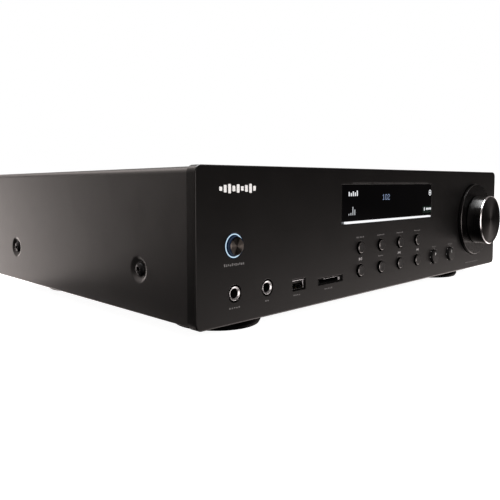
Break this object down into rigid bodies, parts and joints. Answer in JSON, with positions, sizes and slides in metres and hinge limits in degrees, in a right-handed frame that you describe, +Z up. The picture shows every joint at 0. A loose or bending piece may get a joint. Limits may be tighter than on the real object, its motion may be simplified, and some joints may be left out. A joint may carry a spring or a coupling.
{
  "type": "stereo receiver",
  "caption": "Full-width stereo receiver: black steel case, display panel, large volume knob, tone knobs, push buttons, front jacks, and rear speaker, line, aerial and mains connectors.",
  "frame": {"origin": "on the floor under the middle of the bounding box", "axes": "+X to the right seen from the front, +Y backwards from the front panel, +Z up"},
  "size_m": [0.43, 0.329, 0.109],
  "materials": {
    "panel": "satin black",
    "cover": "fine satin black powder coat",
    "chassis": "matt black",
    "zinc_steel": "zinc plated",
    "foot_rubber": "matt",
    "black_fastener": "black oxide",
    "display_gloss": "clear gloss over black",
    "light_guide": "lit light guide",
    "black_plastic": "fine moulded grain",
    "bright_metal": "nickel plated",
    "circuit_board": "solder mask",
    "winding_wrap": "wrapped enamelled wire",
    "heat_sink_aluminium": "extruded",
    "capacitor_sleeve": "shrunk sleeve",
    "knob_gloss": "polished black",
    "spun_aluminium": "spun, anodised dark, with a bright cut edge",
    "button_black": "satin"
  },
  "bodies": {
    "case": {"front_panel": "panel", "top_cover": "cover", "chassis_base": "chassis", "front_subframe": "zinc_steel", "rear_panel": "chassis", "foot_front_left": "foot_rubber", "foot_back_left": "foot_rubber", "foot_front_right": "foot_rubber", "foot_back_right": "foot_rubber", "cover_screw_left_front": "black_fastener", "cover_screw_left_back": "black_fastener", "cover_screw_right_front": "black_fastener", "cover_screw_right_back": "black_fastener", "display_window": "display_gloss", "display_light_bar": "light_guide", "display_module": "black_plastic", "volume_base_disc": "panel", "volume_encoder": "zinc_steel", "bass_potentiometer": "zinc_steel", "treble_potentiometer": "zinc_steel", "power_light_ring": "light_guide", "headphone_jack": "bright_metal", "microphone_jack": "bright_metal", "usb_socket": "bright_metal", "sd_card_slot": "black_plastic", "control_board": "circuit_board", "input_board": "circuit_board", "main_board": "circuit_board", "transformer": "winding_wrap", "heat_sink": "heat_sink_aluminium", "filter_capacitor_left": "capacitor_sleeve", "filter_capacitor_right": "capacitor_sleeve", "tuner_module": "zinc_steel", "speaker_terminal_block": "black_plastic", "phono_socket_block": "black_plastic", "aerial_socket": "bright_metal", "mains_inlet": "black_plastic", "mains_switch_frame": "black_plastic"},
    "volume_control": {"volume_knob": "knob_gloss", "volume_knob_cap": "spun_aluminium", "volume_shaft": "zinc_steel"},
    "bass_control": {"bass_knob": "button_black"},
    "treble_control": {"treble_knob": "button_black"},
    "power_key": {"power_button": "spun_aluminium"},
    "key_upper_1": {"button_upper_1": "button_black"},
    "key_upper_2": {"button_upper_2": "button_black"},
    "key_upper_3": {"button_upper_3": "button_black"},
    "key_upper_4": {"button_upper_4": "button_black"},
    "key_lower_1": {"button_lower_1": "button_black"},
    "key_lower_2": {"button_lower_2": "button_black"},
    "key_lower_3": {"button_lower_3": "button_black"},
    "key_lower_4": {"button_lower_4": "button_black"},
    "terminal_1": {"speaker_post_cap_1": "knob_gloss"},
    "terminal_2": {"speaker_post_cap_2": "knob_gloss"},
    "terminal_3": {"speaker_post_cap_3": "knob_gloss"},
    "terminal_4": {"speaker_post_cap_4": "knob_gloss"},
    "mains_switch": {"mains_rocker": "knob_gloss"}
  },
  "joints": [
    {"name": "volume_turn", "type": "hinge", "parent": "case", "child": "volume_control", "pos_m": [0.1623, -0.1475, 0.0606], "axis": [0, 1, 0], "continuous": true},
    {"name": "bass_turn", "type": "hinge", "parent": "case", "child": "bass_control", "pos_m": [0.077, -0.1475, 0.0296], "axis": [0, 1, 0], "range_deg": [-150, 150]},
    {"name": "treble_turn", "type": "hinge", "parent": "case", "child": "treble_control", "pos_m": [0.11, -0.1475, 0.0296], "axis": [0, 1, 0], "range_deg": [-150, 150]},
    {"name": "power_press", "type": "slide", "parent": "case", "child": "power_key", "axis": [0, 1, 0], "range_m": [0, 0.0015], "stiffness_N_per_m": 500, "springref_m": -0.0008},
    {"name": "upper_1_press", "type": "slide", "parent": "case", "child": "key_upper_1", "axis": [0, 1, 0], "range_m": [0, 0.0007], "stiffness_N_per_m": 500, "springref_m": -0.0006},
    {"name": "upper_2_press", "type": "slide", "parent": "case", "child": "key_upper_2", "axis": [0, 1, 0], "range_m": [0, 0.0007], "stiffness_N_per_m": 500, "springref_m": -0.0006},
    {"name": "upper_3_press", "type": "slide", "parent": "case", "child": "key_upper_3", "axis": [0, 1, 0], "range_m": [0, 0.0007], "stiffness_N_per_m": 500, "springref_m": -0.0006},
    {"name": "upper_4_press", "type": "slide", "parent": "case", "child": "key_upper_4", "axis": [0, 1, 0], "range_m": [0, 0.0007], "stiffness_N_per_m": 500, "springref_m": -0.0006},
    {"name": "lower_1_press", "type": "slide", "parent": "case", "child": "key_lower_1", "axis": [0, 1, 0], "range_m": [0, 0.0007], "stiffness_N_per_m": 500, "springref_m": -0.0006},
    {"name": "lower_2_press", "type": "slide", "parent": "case", "child": "key_lower_2", "axis": [0, 1, 0], "range_m": [0, 0.0007], "stiffness_N_per_m": 500, "springref_m": -0.0006},
    {"name": "lower_3_press", "type": "slide", "parent": "case", "child": "key_lower_3", "axis": [0, 1, 0], "range_m": [0, 0.0007], "stiffness_N_per_m": 500, "springref_m": -0.0006},
    {"name": "lower_4_press", "type": "slide", "parent": "case", "child": "key_lower_4", "axis": [0, 1, 0], "range_m": [0, 0.0007], "stiffness_N_per_m": 500, "springref_m": -0.0006},
    {"name": "terminal_1_turn", "type": "hinge", "parent": "case", "child": "terminal_1", "pos_m": [-0.01, 0.1465, 0.0447], "axis": [0, 1, 0], "continuous": true},
    {"name": "terminal_2_turn", "type": "hinge", "parent": "case", "child": "terminal_2", "pos_m": [0.01, 0.1465, 0.0447], "axis": [0, 1, 0], "continuous": true},
    {"name": "terminal_3_turn", "type": "hinge", "parent": "case", "child": "terminal_3", "pos_m": [0.03, 0.1465, 0.0447], "axis": [0, 1, 0], "continuous": true},
    {"name": "terminal_4_turn", "type": "hinge", "parent": "case", "child": "terminal_4", "pos_m": [0.05, 0.1465, 0.0447], "axis": [0, 1, 0], "continuous": true},
    {"name": "mains_switch_rock", "type": "hinge", "parent": "case", "child": "mains_switch", "pos_m": [-0.134, 0.1465, 0.0507], "axis": [1, 0, 0], "range_deg": [-14, 0]}
  ]
}
